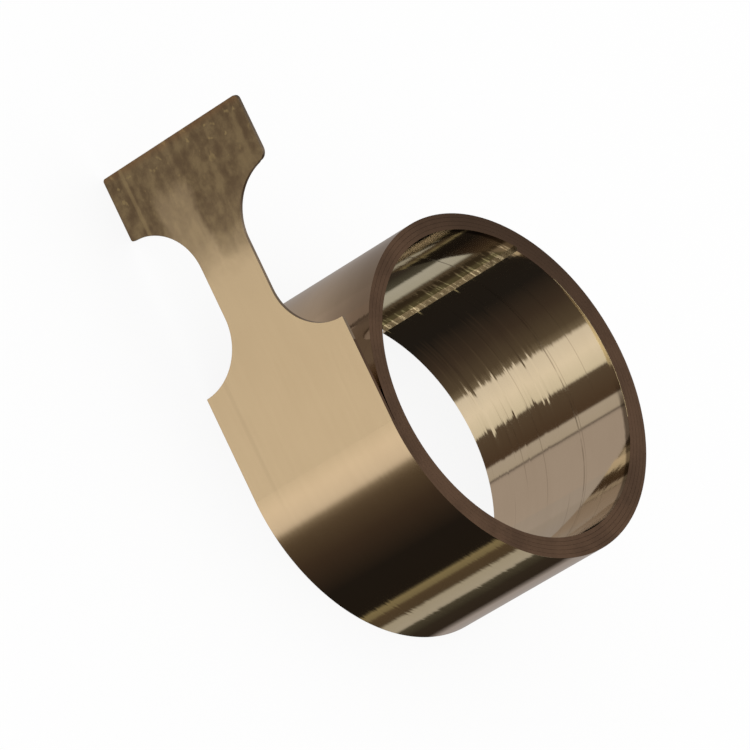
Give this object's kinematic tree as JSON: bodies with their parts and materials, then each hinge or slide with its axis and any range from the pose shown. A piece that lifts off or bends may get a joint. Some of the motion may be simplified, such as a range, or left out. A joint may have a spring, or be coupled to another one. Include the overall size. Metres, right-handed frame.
{
  "type": "constant-force spring",
  "caption": "Constant-force spring: a flat steel strip wound in a loose coil, its straight free end cut to a T-shaped hook tab.",
  "frame": {"origin": "on the surface the part lies on, under the middle of its bounding box", "axes": "+X along the flat lead towards the hook tab, +Y out through the lead's outer face, +Z along the coil's axis"},
  "size_m": [0.043, 0.0296, 0.016],
  "materials": {
    "coil_strip": "bright rolled steel with a brown-bronze heat tint and lengthwise grain",
    "lead_strip": "bright rolled steel with a pale bronze heat tint and lengthwise grain",
    "tab_strip": "rolled steel with a darker mottled brown heat tint and lengthwise grain"
  },
  "bodies": {
    "lead": {"flat_lead": "lead_strip"},
    "coil": {"wound_coil": "coil_strip"},
    "tab": {"hook_tab": "tab_strip"}
  },
  "joints": [
    {"name": "coil_spin", "type": "hinge", "parent": "lead", "child": "coil", "pos_m": [-0.00667, -0.00009, 0], "axis": [0, 0, -1], "range_deg": [0, 1080]},
    {"name": "pull_out", "type": "slide", "parent": "lead", "child": "tab", "axis": [1, 0, 0], "range_m": [0, 0.2682], "stiffness_N_per_m": 0.2, "springref_m": -1.5, "deforming": ["flat_lead"]}
  ],
  "couplings": [
    {"joint": "pull_out", "follows": "coil_spin", "m_per_rad": 0.014225}
  ]
}
